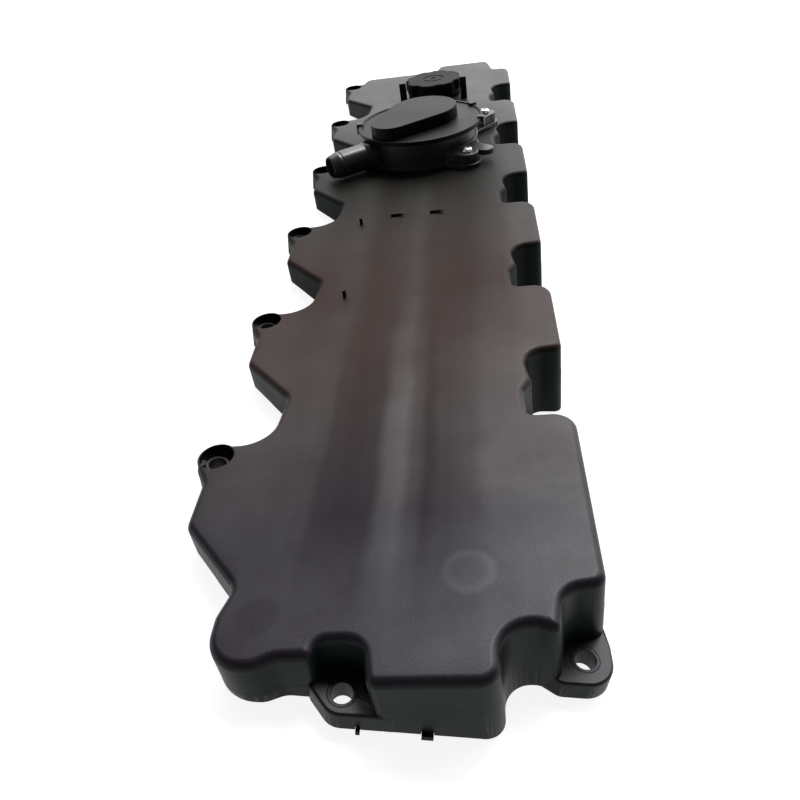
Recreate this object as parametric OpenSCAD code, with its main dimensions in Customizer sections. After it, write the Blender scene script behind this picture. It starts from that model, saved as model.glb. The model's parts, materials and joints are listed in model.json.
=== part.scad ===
// Cylinder head cover of an in-line six-cylinder diesel engine, in glass-filled nylon.
// It carries a crankcase-ventilation diaphragm valve and an oil filler cap.
// Row frame: +X across the head, +Y along it, +Z up, z = 0 on the gasket's resting face.
// The cover's top is a plane that rises towards +X: it has its own frame, "top frame",
// whose z = 0 is that plane and whose y = 0 is the first screw of the long left row.

/* [Cover] */
// Distance from one cylinder to the next
pitch = 130; // [126:1:136]
// Slope of the top across the head, in degrees
tilt = 9.5; // [8:0.5:10.5]
// Height of the top above the flange at the left screw row
left_h = 17.7; // [17:0.1:20]
// Thickness of the moulded walls and top
wall = 3; // [2.5:0.5:3.5]
// Width of the flange that carries the gasket
flange_w = 11; // [10:0.5:11.5]
// Thickness of the flange and of the screw ears
flange_t = 10; // [8:0.5:11]

/* [Screws and gasket] */
// Radius of the hole in each compression sleeve, for an M8 screw
screw_r = 4.5; // [4.2:0.1:4.8]
// Outer radius of the compression sleeves
sleeve_r = 6.2; // [5.8:0.1:6.6]
// Radius of the counterbore round each left screw
counterbore_r = 8.8; // [8:0.1:9]
// How far the relaxed gasket stands out of its groove
gasket_proud = 1; // [0.5:0.1:1.5]

/* [Ventilation valve] */
// Radius of the valve housing
pcv_r = 50; // [49:0.5:51]
// Radius of the round lid
lid_r = 57; // [56:0.5:57]
// Height of the lid's rim above the cover
pcv_h = 24; // [24:0.5:25]
// Height of the vent cover on the lid
vent_h = 9.5; // [8:0.5:11]
// Outer radius of the hose spigot
spigot_r = 11.3; // [10.5:0.1:11.4]
// Distance of the spigot's mouth from the valve's axis
spigot_reach = 96; // [85:1:100]

/* [Filler cap] */
// Radius of the cap's scalloped knob
cap_r = 30.5; // [29:0.5:31]
// Radius of the filler neck's bore
neck_r = 24.5; // [24:0.1:25]
// Height of the two guard posts beside the cap
post_h = 22; // [18:0.5:24]

/* [Hidden] */
function numbered(name, n) = [for (i = [1:n]) str(name, "_", i)];
$fn = 64;
arc_step = 12;                       // degrees between points on a round corner
cylinders = 6;
far_y = (cylinders - 1) * pitch;     // the last screw of the left row
bolt_x = -3;                         // left screw row, row frame
ear_x = 174.7;                       // screws of the right side, row frame
ear_r = 11.8;
near_ear = [76.6, -120.2];
corner_ear = [ear_x, -97.5];
far_ear = [ear_x, far_y + 23];
pocket_screw = 48;                   // from a left screw to the next right one, along Y
boss_r = 10;
counterbore_z = 12;                  // floor of the left counterbores
deep = 75;                           // reaches below the flange everywhere
// The part is centred on its own box.
tab_out = 1.5;
centre = [(bolt_x - boss_r + ear_x + ear_r) / 2, (far_y + 50 - 129.5 - tab_out) / 2];
// Places on the cover's top, top frame
pcv_at = [92.5, 3 * pitch + 23];
cap_at = [99, far_y - 66];
lug_at = [[41, -47.5], [59, 51.5], [-44, 37]];     // screws of the valve housing, from its axis
spigot_turn = 214;                   // direction of the spigot, from +X
spigot_z = 12;
root_reach = 62;                     // end of the spigot's thicker root
mouth_taper = 12;
baffle_size = [112, 150];
baffle_at = [[-48, -66], [48, -66], [48, 66], [-48, 66]];     // screws of the baffle
baffle_z = -9;                       // top of the baffle plate
insert_len = 11;
// Valve levels above the cover's top
floor_t = 4;
seat_top = 17.5;
seat_r = 13;
plate_z = 21;
membrane_z = 23;
lid_t = 4;
// Cap levels above the cover's top
collar_h = 5;
seal_t = 2;
knob_h = 10.5;

// ---- outline helpers -------------------------------------------------------
function unit(v) = v / norm(v);
function flat(p) = [p.x, p.y];
function turn_of(a, b, c) = cross(flat(b) - flat(a), flat(c) - flat(b));

// Points of the round corner at b, between the sides towards a and c. b[2] is its radius.
function corner(a, b, c) =
    let (p = flat(b), u = unit(flat(a) - p), v = unit(flat(c) - p))
    let (half = acos(u * v) / 2, mid = p + unit(u + v) * b[2] / sin(half))
    let (s = p + u * b[2] / tan(half) - mid, e = p + v * b[2] / tan(half) - mid)
    let (sweep = (180 - 2 * half) * sign(turn_of(a, b, c)), from = atan2(s.y, s.x))
    let (n = max(1, ceil(abs(sweep) / arc_step)))
    [for (i = [0:n]) mid + b[2] * [cos(from + sweep * i / n), sin(from + sweep * i / n)]];

// A closed outline from corners [x, y, radius], listed anticlockwise.
function rounded(v) =
    let (n = len(v))
    [for (i = [0:n - 1]) each corner(v[(i + n - 1) % n], v[i], v[(i + 1) % n])];

// The same corners with every side moved inwards by d.
function inset(v, d) =
    let (n = len(v))
    [for (i = [0:n - 1])
        let (a = v[(i + n - 1) % n], b = v[i], c = v[(i + 1) % n])
        let (u = unit(flat(b) - flat(a)), w = unit(flat(c) - flat(b)))
        let (nu = [-u.y, u.x], nw = [-w.y, w.x], m = (nu + nw) * d / (1 + nu * nw))
        let (r = turn_of(a, b, c) > 0 ? max(1, b[2] - d) : b[2] + d)
        [b.x + m.x, b.y + m.y, r]];

// ---- the cover's outline, top frame ----------------------------------------
left_x = -3.6;                       // the left side between two scallops
right_x = 183.8;                     // the right side between two pockets
// Near end, from the round lobe on the left to the screw corner on the right.
near_full = [[23.8, -97, 12], [23.8, -121.5, 17], [45, -121.5, 12], [53, -117.5, 10],
    [67.6, -117.5, 4], [70, -110, 5], [86.5, -110, 8], [90, -129.5, 5], [140.3, -129.5, 9],
    [140.3, -105, 12], [154.5, -105, 5], [163.2, -108.6, 3.5], [166.2, -89.5, 9], [right_x, -87, 7]];
// The plain outlines leave out the lips of the screws. The inside and the gasket follow them.
near_plain = [[23.8, -97, 12], [23.8, -119.5, 17], [50, -118.5, 6], [70, -107.5, 6],
    [87, -107.5, 9], [90.5, -129.5, 5], [140.3, -129.5, 9], [140.3, -103, 12],
    [161, -103, 4], [162.5, -88, 3], [right_x, -85.5, 7]];
// One pocket of the right side, for the screw beside cylinder k.
function pocket_full(k) = [for (p = [[right_x, 20.5, 12], [160, 20.5, 5], [159.5, 40, 6],
    [164.5, 49, 3], [161.5, 75, 11], [right_x, 77, 6]]) [p.x, p.y + k * pitch, p.z]];
function pocket_plain(k) = [for (p = [[right_x, 20.5, 12], [159.5, 20.5, 5], [160, 75, 11],
    [right_x, 77, 6]]) [p.x, p.y + k * pitch, p.z]];
// Far end, from the right screw corner to the last left boss.
far_full = [for (p = [[right_x, 11, 10], [167, 11, 5], [161, 50, 9], [102, 50, 8], [97, 28, 8],
    [12, 29, 11], [10, 11, 5]]) [p.x, p.y + far_y, p.z]];
far_plain = [for (p = [[right_x, 11, 10], [167, 11, 3], [161, 50, 9], [102, 50, 8], [97, 28, 8],
    [12, 29, 11]]) [p.x, p.y + far_y, p.z]];
// One bay of the left side: the screw boss, then the scallop down to the next one.
function bay_full(k) =
    let (y = k * pitch)
    concat([[-10, y + 10.2, 9.8], [-10, y - 7, 8], [left_x, y - 19, 9], [left_x, y - 47, 9],
        [28, y - 83, 8]], k > 0 ? [[25, y - pitch + 10.2, 17]] : []);
function bay_plain(k) =
    let (y = k * pitch)
    concat([[11, y + 10.2, 5], [11, y - 12, 5], [left_x, y - 20, 7], [left_x, y - 47, 9],
        [28, y - 83, 8]], k > 0 ? [[25, y - pitch + 10.2, 3]] : []);
bays = [for (k = [0:cylinders - 2]) k];
bosses = [for (k = [0:cylinders - 1]) k];
outer_corners = concat(near_full, [for (k = bays) each pocket_full(k)], far_full,
    [for (k = bosses) each bay_full(cylinders - 1 - k)]);
inner_corners = concat(near_plain, [for (k = bays) each pocket_plain(k)], far_plain,
    [for (k = bosses) each bay_plain(cylinders - 1 - k)]);

// ---- frames ----------------------------------------------------------------
module centred() { translate([-centre.x, -centre.y, 0]) children(); }
module top_frame() { centred() translate([0, 0, gasket_proud]) rotate([0, -tilt, 0])
    translate([0, 0, left_h]) children(); }
module flange_frame() { centred() translate([0, 0, gasket_proud]) children(); }
module on_top(at) { top_frame() translate([at.x, at.y, 0]) children(); }
module pcv_frame() { on_top(pcv_at) children(); }
module cap_frame() { on_top(cap_at) children(); }

// A prism of an outline along the top frame's axis, reaching below the flange.
module top_prism(corners, from_top) { top_frame() translate([0, 0, -deep])
    linear_extrude(deep - from_top) polygon(rounded(corners)); }
// A prism standing on the flange plane, of an outline given in the top frame.
module flange_prism(corners, low, high) { flange_frame() translate([0, 0, low])
    linear_extrude(high - low) polygon([for (p = rounded(corners)) [p.x / cos(tilt), p.y]]); }
module flange_slab(low, high) { flange_frame() translate([-50, -170, low])
    cube([300, far_y + 260, high - low]); }
module under_top() { top_frame() translate([-60, -170, -deep]) cube([300, far_y + 260, deep]); }

// ---- small shapes ----------------------------------------------------------
module ring(r_out, r_in, h) { difference() { cylinder(r = r_out, h = h);
    translate([0, 0, -1]) cylinder(r = r_in, h = h + 2); } }
// Two discs of different size joined by their tangents. The sides lie a hair inside the tangents.
module teardrop(a, ra, b, rb, h) {
    along = unit(b - a);
    lean = acos((ra - rb) / norm(b - a));
    side = [for (s = [-1, 1]) [along.x * cos(lean) - s * along.y * sin(lean),
        along.y * cos(lean) + s * along.x * sin(lean)]];
    translate([a.x, a.y, 0]) cylinder(r = ra, h = h);
    translate([b.x, b.y, 0]) cylinder(r = rb, h = h);
    hair = 0.03;
    linear_extrude(h) polygon([a + side[0] * (ra - hair), b + side[0] * (rb - hair),
        b + side[1] * (rb - hair), a + side[1] * (ra - hair)]);
}
module sleeve(at, high) color("silver") { flange_frame() translate([at.x, at.y, 0]) ring(sleeve_r, screw_r, high); }
module pan_screw(head_r, head_h, shank_r, length) {
    difference() {
        cylinder(r = head_r, h = head_h);
        translate([0, 0, head_h * 0.45]) cylinder(r = head_r * 0.5, h = head_h, $fn = 6);
    }
    translate([0, 0, -length]) cylinder(r = shank_r, h = length + 0.5);
}

// ---- cover -----------------------------------------------------------------
module ear_plate(at) { flange_frame() translate([at.x, at.y, 0]) cylinder(r = ear_r, h = flange_t); }
module ear_block(low, high) { flange_frame() translate([low.x, low.y, 0])
    cube([high.x - low.x, high.y - low.y, flange_t]); }
module pocket_ears() {
    for (k = bays) {
        ear_plate([ear_x, k * pitch + pocket_screw]);
        ear_block([158, k * pitch + pocket_screw - ear_r], [ear_x, k * pitch + pocket_screw + ear_r]);
    }
}
module end_ears() {
    flange_frame() linear_extrude(flange_t) polygon(rounded([[150, -101, 1], [157.5, -105.2, 8],
        [164, corner_ear.y - ear_r, 6], [ear_x + ear_r, corner_ear.y - ear_r, ear_r],
        [ear_x + ear_r, -90, 8], [184.5, -80, 1], [150, -80, 1]]));
    ear_plate(far_ear);
    ear_block([158, far_y + 8], [ear_x, far_ear.y + ear_r]);
    ear_block([ear_x, far_y + 8], [ear_x + ear_r, far_ear.y]);
    flange_frame() linear_extrude(flange_t) polygon(rounded([[62.2, -117.5, 6], [72.5, -129.5, 9],
        [94, -129.5, 1], [94, -105, 1], [62.2, -105, 1]]));
}
module screw_holes(r, low) {
    for (k = bosses)
        flange_frame() translate([bolt_x, k * pitch, low]) cylinder(r = r, h = deep);
    for (k = bays)
        flange_frame() translate([ear_x, k * pitch + pocket_screw, low]) cylinder(r = r, h = 30);
    for (at = [near_ear, corner_ear, far_ear])
        flange_frame() translate([at.x, at.y, low]) cylinder(r = r, h = 24);
}
module left_bosses() {
    intersection() {
        for (k = bosses)
            flange_frame() translate([bolt_x, k * pitch, 0]) cylinder(r = boss_r, h = deep);
        under_top();
    }
}
module top_details() {
    for (s = [-1, 1])
        on_top([cap_at.x + s * 32.5, cap_at.y - 22]) translate([-3.5, -3, -1])
            cube([7, 6, post_h + 1]);
    for (at = [[49, 2 * pitch + 4], [49, pitch + 23]])
        on_top(at) translate([-1.2, -1.6, -1]) cube([2.4, 3.2, 6]);
    pcv_frame() for (at = lug_at) translate([at.x, at.y, -insert_len - 2])
        cylinder(r = 6.5, h = insert_len + 1);
    pcv_frame() for (at = baffle_at) translate([at.x, at.y, baffle_z]) cylinder(r = 5, h = 8);
    cap_frame() translate([0, 0, -14]) cylinder(r = neck_r + 3, h = 13);
}
module top_openings() {
    for (at = [[76, 2 * pitch + 12], [107, 2 * pitch + 11.5]])
        on_top(at) translate([-4.5, -4.3, -2]) cube([9, 8.6, 4]);
    pcv_frame() translate([0, 0, -wall - 1]) cylinder(r = 38, h = wall + 2);
    pcv_frame() for (at = lug_at) translate([at.x, at.y, -insert_len])
        cylinder(r = 3.5, h = insert_len + 2);
    pcv_frame() for (at = baffle_at) translate([at.x, at.y, baffle_z - 1]) cylinder(r = 1.9, h = 8);
    cap_frame() translate([0, 0, -20]) cylinder(r = neck_r, h = 30);
}
// Two tabs that show under the near edge, each a box [low x, high x, low y, high y]. The small one
// stands under the near ear, and a strip joins it to the rest of the gasket.
module gasket_tabs(grow) {
    edge = -129.5 - tab_out;
    for (t = [[108.7, 113.4, edge, -121.5], [82.9, 84.6, edge, -127], [82.9, 96, -128.5, -126.5]])
        flange_frame() translate([t[0] - grow, t[2] - grow, -gasket_proud])
            cube([t[1] - t[0] + 2 * grow, t[3] - t[2] + 2 * grow, gasket_proud + 1.6 + grow]);
}

module cover_shell() color([0.2, 0.2, 0.21]) difference() {
    union() {
        difference() {
            intersection() {
                top_prism(outer_corners, 0);
                flange_slab(0, deep);
            }
            intersection() {
                top_prism(inset(inner_corners, wall), wall);
                flange_slab(flange_t * 0.7, deep);
            }
            top_prism(inset(inner_corners, flange_w), wall);
        }
        left_bosses();
        pocket_ears();
        end_ears();
        top_details();
    }
    flange_groove();
    gasket_tabs(0.2);
    screw_holes(sleeve_r, -1);
    for (k = bosses)
        flange_frame() translate([bolt_x, k * pitch, counterbore_z]) cylinder(r = counterbore_r, h = deep);
    top_openings();
}
module flange_groove() difference() {
    flange_prism(inset(inner_corners, 3.8), -1, 4);
    flange_prism(inset(inner_corners, 8.6), -2, 5);
}
module perimeter_gasket() color([0.09, 0.09, 0.09]) {
    difference() {
        flange_prism(inset(inner_corners, 4), -gasket_proud, 3.9);
        flange_prism(inset(inner_corners, 8.4), -2, 5);
    }
    gasket_tabs(0);
}
module left_sleeve(k) sleeve([bolt_x, k * pitch], counterbore_z);
module right_sleeve(k) sleeve([ear_x, k * pitch + pocket_screw], flange_t);
module end_sleeve(k) sleeve([near_ear, corner_ear, far_ear][k], flange_t);

// ---- oil separator under the valve ------------------------------------------
module baffle_plate() color([0.25, 0.25, 0.26]) pcv_frame() difference() {
    union() {
        translate([-baffle_size.x / 2, -baffle_size.y / 2, baffle_z - 2])
            cube([baffle_size.x, baffle_size.y, 2]);
        for (s = [-1, 1])
            translate([s * (baffle_size.x / 2 - 1) - 1, -baffle_size.y / 2, baffle_z - 1])
                cube([2, baffle_size.y, -baffle_z - wall + 0.6]);
        for (y = [-46, 46])
            translate([-baffle_size.x / 2, y - 1, baffle_z - 1])
                cube([baffle_size.x - 34, 2, -baffle_z - wall + 0.6]);
    }
    for (at = baffle_at) translate([at.x, at.y, baffle_z - 3]) cylinder(r = 2.4, h = 4);
    for (y = [-62, 62])
        translate([20, y, baffle_z - 3]) cylinder(r = 7, h = 4);
    for (at = lug_at)
        translate([at.x, at.y, baffle_z - 3]) cylinder(r = 7.2, h = 14);
    translate([-40, 0, baffle_z - 3]) cylinder(r = 2.5, h = 4);
    for (a = [0:60:300])
        translate([-40 + 6 * cos(a), 6 * sin(a), baffle_z - 3]) cylinder(r = 1.6, h = 4);
}
module baffle_screw(k) color("silver") pcv_frame()
    translate([baffle_at[k].x, baffle_at[k].y, baffle_z - 2]) rotate([180, 0, 0])
        pan_screw(4, 2.2, 1.8, 7);
module drain_valve() color([0.1, 0.1, 0.1]) pcv_frame() translate([-40, 0, baffle_z - 2])
    rotate_extrude() polygon([[0, -3], [3, -2.4], [9.5, -0.9], [9.5, -0.1], [2.4, -0.1],
        [2.4, 2.1], [3.6, 2.1], [1.2, 6], [0, 6]]);

// ---- ventilation valve ------------------------------------------------------
module valve_insert(k) color([0.8, 0.65, 0.3]) pcv_frame()
    translate([lug_at[k].x, lug_at[k].y, -insert_len]) ring(3.5, 2.2, insert_len);
// A round screw pad and the web that joins it to the housing.
module lug(at, r, low, high) {
    reach = norm(at);
    rotate([0, 0, atan2(at.y, at.x)]) translate([0, 0, low]) {
        translate([reach, 0, 0]) cylinder(r = r, h = high - low);
        linear_extrude(high - low) polygon([[30, -r - 8], [reach, 0.6 - r], [reach, r - 0.6],
            [30, r + 8]]);
    }
}
module spigot_axis() { rotate([0, 0, spigot_turn]) translate([0, 0, spigot_z])
    rotate([0, 90, 0]) children(); }
// The duct from the valve's seat to the spigot, lower than the spigot.
module duct_axis() { translate([0, 0, -2.1]) spigot_axis() children(); }
module pcv_housing() color([0.06, 0.06, 0.065]) pcv_frame() difference() {
    union() {
        cylinder(r = pcv_r, h = pcv_h);
        cylinder(r = pcv_r + 2, h = 3);
        translate([0, 0, 10]) cylinder(r = pcv_r + 1.5, h = 2.5);
        for (at = lug_at) {
            lug(at, 12, 0, 4);
            lug(at, 10, 0, 12);
        }
        lug([57, -40], 7, 6.5, 11);
        spigot_axis() {
            cylinder(r = spigot_r, h = spigot_reach - mouth_taper);
            translate([0, 0, spigot_reach - mouth_taper])
                cylinder(r1 = spigot_r, r2 = spigot_r - 2.2, h = mouth_taper);
        }
        intersection() {
            spigot_axis() cylinder(r = spigot_r + 1.4, h = root_reach);
            cylinder(r = 2 * root_reach, h = pcv_h - 0.4);
        }
    }
    difference() {
        translate([0, 0, floor_t]) cylinder(r = pcv_r - 4, h = pcv_h);
        cylinder(r = seat_r + 2.5, h = seat_top);
        duct_axis() cylinder(r = 7.4, h = pcv_r);
    }
    translate([0, 0, floor_t]) cylinder(r = seat_r, h = pcv_h);
    duct_axis() cylinder(r = 5.4, h = pcv_r + 4);
    spigot_axis() translate([0, 0, pcv_r + 2]) cylinder(r = spigot_r - 3.4, h = spigot_reach);
    for (a = [0:60:300])
        rotate([0, 0, a + 4]) translate([29, 0, -1]) cylinder(r = 5.5, h = floor_t + 2);
    for (at = lug_at) translate([at.x, at.y, -1]) cylinder(r = 2.8, h = 20);
    translate([0, 0, -0.5]) ring(44.2, 39.9, 2.2);
    translate([0, 0, pcv_h - 1.5]) ring(48.2, 45, 4);
}
module pcv_seal() color([0.1, 0.1, 0.1]) pcv_frame() translate([0, 0, 0.85])
    rotate_extrude() translate([42, 0]) circle(r = 0.8);
module pcv_screw(k) color("silver") pcv_frame()
    translate([lug_at[k].x, lug_at[k].y, 12]) pan_screw(4.6, 3, 2.1, 21);
module diaphragm() color([0.16, 0.1, 0.08]) pcv_frame() rotate_extrude() polygon([[4, membrane_z],
    [31, membrane_z], [34, membrane_z + 1.7], [38, membrane_z + 2.1], [41, membrane_z + 0.6],
    [46.2, membrane_z + 0.2], [46.2, pcv_h - 1.4], [48, pcv_h - 1.4], [48, pcv_h + 1.3],
    [46.2, membrane_z + 1.8], [41.5, membrane_z + 1.6], [38.4, membrane_z + 3],
    [33.6, membrane_z + 2.7], [30.5, membrane_z + 1], [4, membrane_z + 1]]);
module diaphragm_plate() color([0.75, 0.75, 0.72]) pcv_frame() {
    translate([0, 0, plate_z]) cylinder(r = 28, h = membrane_z - plate_z - 0.02);
    translate([0, 0, plate_z - 3]) ring(7.6, 5.5, 3.5);
    cylinder_stud();
}
module cylinder_stud() { translate([0, 0, plate_z]) cylinder(r = 3.9, h = 4.2);
    translate([0, 0, membrane_z + 1.05]) cylinder(r = 9, h = 1.2); }
// A wire wound as a helix: rings of points carried along it.
coil = [9.2, 0.7, 4.5];              // coil radius, wire radius, number of turns
coil_low = floor_t + 0.75;
coil_rise = plate_z - 0.75 - coil_low;
coil_rings = 72;
wire_sides = 8;
function coil_point(i, j) =
    let (a = 360 * coil[2] * i / coil_rings, b = 360 * j / wire_sides)
    let (r = coil[0] + coil[1] * cos(b))
    [r * cos(a), r * sin(a), coil_low + coil_rise * i / coil_rings + coil[1] * sin(b)];
module pcv_spring() color([0.7, 0.7, 0.7]) pcv_frame() polyhedron(
    points = [for (i = [0:coil_rings], j = [0:wire_sides - 1]) coil_point(i, j)],
    faces = concat([[for (j = [0:wire_sides - 1]) j]],
        [[for (j = [0:wire_sides - 1]) coil_rings * wire_sides + wire_sides - 1 - j]],
        [for (i = [0:coil_rings - 1], j = [0:wire_sides - 1])
            let (n = wire_sides, a = i * n + j, b = i * n + (j + 1) % n) [a, a + n, b + n, b]]));
vent_a = [3, 7];
vent_b = [-24, -27];
module pcv_lid() color([0.3, 0.3, 0.3]) pcv_frame() difference() {
    translate([0, 0, pcv_h]) rotate_extrude() polygon([[0, 0], [lid_r - 1.5, 0], [lid_r - 0.4, 0.6],
        [lid_r, 1.6], [lid_r, lid_t - 1.4], [lid_r - 0.5, lid_t - 0.4], [lid_r - 1.6, lid_t], [0, lid_t]]);
    translate([0, 0, pcv_h - 1]) cylinder(r = 45.8, h = 1 + lid_t - 1.6);
    translate([0, 0, pcv_h - 1]) ring(48.2, 45, 2.4);
    translate([vent_a.x, vent_a.y, pcv_h]) cylinder(r = 18, h = 10);
}
module vent_cover() color([0.3, 0.3, 0.3]) pcv_frame() translate([0, 0, pcv_h + lid_t]) difference() {
    teardrop(vent_a, 31, vent_b, 18, vent_h);
    translate([0, 0, -1]) teardrop(vent_a, 28.6, vent_a + 0.8 * (vent_b - vent_a), 15.6, vent_h - 1.4);
}
clip_turns = [-12, 32, 92, 176];
module lid_clip(k) color([0.12, 0.12, 0.12]) pcv_frame()
    rotate([0, 0, clip_turns[k]]) translate([0, 3, 0]) rotate([90, 0, 0]) linear_extrude(6) polygon([
        [lid_r - 4, pcv_h + lid_t + 0.05], [lid_r - 4, pcv_h + lid_t + 1.6],
        [lid_r + 2.2, pcv_h + lid_t + 1.6], [lid_r + 2.2, pcv_h - 3.6], [pcv_r + 0.3, pcv_h - 3.6],
        [pcv_r + 0.3, pcv_h - 2], [lid_r + 0.3, pcv_h - 2], [lid_r + 0.3, pcv_h + lid_t + 0.05]]);

// ---- oil filler -------------------------------------------------------------
module filler_collar() color([0.1, 0.1, 0.1]) cap_frame() ring(neck_r + 4, neck_r, collar_h);
module cap_knob() color([0.28, 0.28, 0.28]) cap_frame() translate([0, 0, collar_h + seal_t])
    difference() {
        union() {
            cylinder(r = cap_r, h = knob_h - 1.5);
            translate([0, 0, knob_h - 1.5]) cylinder(r1 = cap_r, r2 = cap_r - 1.5, h = 1.5);
        }
        for (a = [0:45:315])
            rotate([0, 0, a + 10]) translate([cap_r + 5.4, 0, -1]) cylinder(r = 8, h = knob_h + 2);
        translate([0, 0, knob_h - 0.7]) ring(11.5, 9.5, 2);
        translate([0, 0, knob_h - 0.7]) cylinder(r = 3, h = 2);
        translate([0, 0, -1]) cylinder(r = 20, h = knob_h - 3);
    }
module cap_plug() color([0.08, 0.08, 0.08]) cap_frame() difference() {
    union() {
        translate([0, 0, -12]) cylinder(r = neck_r - 0.8, h = 12 + collar_h + seal_t);
        for (a = [0, 180])
            rotate([0, 0, a]) translate([0, 0, -11]) intersection() {
                translate([0, -6, 0]) cube([neck_r - 0.35, 12, 3]);
                cylinder(r = neck_r - 0.35, h = 3);
            }
    }
    translate([0, 0, -13]) cylinder(r = neck_r - 3.5, h = 12 + collar_h + seal_t - 1);
}
module cap_seal() color([0.1, 0.1, 0.1]) cap_frame() translate([0, 0, collar_h])
    ring(neck_r + 3, neck_r - 0.75, seal_t);

cover_shell();
perimeter_gasket();
for (k = [0:5]) left_sleeve(k);
for (k = [0:4]) right_sleeve(k);
for (k = [0:2]) end_sleeve(k);
baffle_plate();
drain_valve();
for (k = [0:3]) baffle_screw(k);
pcv_housing();
pcv_seal();
for (k = [0:2]) valve_insert(k);
for (k = [0:2]) pcv_screw(k);
diaphragm();
diaphragm_plate();
pcv_spring();
pcv_lid();
vent_cover();
for (k = [0:3]) lid_clip(k);
filler_collar();
cap_knob();
cap_plug();
cap_seal();
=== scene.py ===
import json
import math

import bmesh
import bpy
import numpy as np
from mathutils import Matrix, Vector
from mathutils.geometry import delaunay_2d_cdt


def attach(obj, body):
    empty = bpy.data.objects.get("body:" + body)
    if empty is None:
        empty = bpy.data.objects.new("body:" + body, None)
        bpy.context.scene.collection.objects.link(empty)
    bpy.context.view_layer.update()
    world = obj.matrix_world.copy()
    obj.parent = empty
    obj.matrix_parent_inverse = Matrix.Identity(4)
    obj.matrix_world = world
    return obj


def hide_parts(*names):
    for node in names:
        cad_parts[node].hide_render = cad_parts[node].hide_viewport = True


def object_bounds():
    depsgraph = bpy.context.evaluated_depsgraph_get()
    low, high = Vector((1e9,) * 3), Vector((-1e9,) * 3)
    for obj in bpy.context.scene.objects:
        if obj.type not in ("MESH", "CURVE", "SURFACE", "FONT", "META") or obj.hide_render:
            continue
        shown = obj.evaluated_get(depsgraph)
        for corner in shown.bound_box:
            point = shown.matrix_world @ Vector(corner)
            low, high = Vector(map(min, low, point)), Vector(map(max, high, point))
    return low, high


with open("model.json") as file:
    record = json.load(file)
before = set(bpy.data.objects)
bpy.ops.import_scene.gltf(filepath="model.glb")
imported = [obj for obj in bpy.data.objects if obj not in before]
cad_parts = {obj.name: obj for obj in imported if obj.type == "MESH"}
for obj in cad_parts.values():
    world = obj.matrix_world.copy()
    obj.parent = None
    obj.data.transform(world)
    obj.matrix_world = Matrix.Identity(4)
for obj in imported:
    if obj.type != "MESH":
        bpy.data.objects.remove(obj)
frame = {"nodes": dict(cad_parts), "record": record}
cad_low, cad_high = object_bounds()

# ---- sizes, in millimetres, as the CAD part has them ------------------------
MM = 0.001
PITCH = 130.0                        # cylinder to cylinder
CYLINDERS = 6
TILT = math.radians(9.5)             # slope of the cover's top
LEFT_H = 17.7                        # top above the flange at the left screws
PROUD = 1.0                          # the flange stands this far above the gasket's face
FAR_Y = (CYLINDERS - 1) * PITCH
BOLT_X = -3.0                        # left screw row, flange frame
EAR_X = 174.7                        # right screws, flange frame
EAR_R = 11.8
EAR_T = 10.0
CORNER_EAR_Y = -97.5
NEAR_EAR = (76.6, -120.2)
FAR_EAR_Y = FAR_Y + 23
POCKET_SCREW = 48.0
BOSS_R = 10.0
COUNTERBORE_R = 8.8
SLEEVE_R = 6.2
HOLE_R = 4.5                         # screw holes
LEFT_SLEEVE = 12.0                   # height of the left sleeves
NEAR_Y = -129.5                      # near end of the cover
GASKET_TAB = 1.5                     # the gasket's tabs stand out past it
FAR_WALL = 50                        # the far wall, from the last left screw
CENTRE = Vector(((BOLT_X - BOSS_R + EAR_X + EAR_R) / 2, (FAR_Y + FAR_WALL + NEAR_Y - GASKET_TAB) / 2, 0))
PCV_AT = (92.5, 3 * PITCH + 23)
CAP_AT = (99.0, FAR_Y - 66)
LUGS = ((41, -47.5), (59, 51.5), (-44, 37))
LEFT_X = -3.6                        # the left side between two scallops, top frame
RIGHT_X = 183.8                      # the right side between two pockets

# flange frame and top frame, both in mm, to the shared frame in metres
FLANGE = Matrix.Scale(MM, 4) @ Matrix.Translation(Vector((0, 0, PROUD)) - CENTRE)
TOP = FLANGE @ Matrix.Rotation(-TILT, 4, "Y") @ Matrix.Translation((0, 0, LEFT_H))
PCV = TOP @ Matrix.Translation((*PCV_AT, 0))
CAP = TOP @ Matrix.Translation((*CAP_AT, 0))


# ---- outlines ---------------------------------------------------------------
MIN_CORNER = 0.35                    # the smallest radius left at a corner that is moved inwards


def unit(v):
    return v / np.linalg.norm(v)


def cross2(a, b):
    return a[0] * b[1] - a[1] * b[0]


def rounded(corners, inset=0.0, step=6.0):
    """Points of a closed outline of corners (x, y, radius), anticlockwise, with every side moved inwards."""
    points = []
    n = len(corners)
    for i in range(n):
        a, b, c = (np.array(corners[k % n][:2], float) for k in (i - 1, i, i + 1))
        radius = corners[i][2]
        before, after = unit(b - a), unit(c - b)
        turn = math.atan2(cross2(before, after), float(before @ after))
        normals = np.array([-before[1], before[0]]), np.array([-after[1], after[0]])
        b = b + (normals[0] + normals[1]) * inset / (1 + float(normals[0] @ normals[1]))
        radius = max(MIN_CORNER, radius - inset) if turn > 0 else radius + inset
        middle = b - before * radius * math.tan(abs(turn) / 2) + normals[0] * math.copysign(radius, turn)
        spokes = max(2, math.ceil(abs(math.degrees(turn)) / step))
        start = math.atan2(*(-normals[0] * math.copysign(1, turn))[::-1])
        for k in range(spokes + 1):
            angle = start + turn * k / spokes
            points.append(middle + radius * np.array([math.cos(angle), math.sin(angle)]))
    return points


def circle(radius, steps=64, at=(0, 0)):
    angles = (2 * math.pi * k / steps for k in range(steps))
    return [np.array([at[0] + radius * math.cos(a), at[1] + radius * math.sin(a)]) for a in angles]


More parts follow.
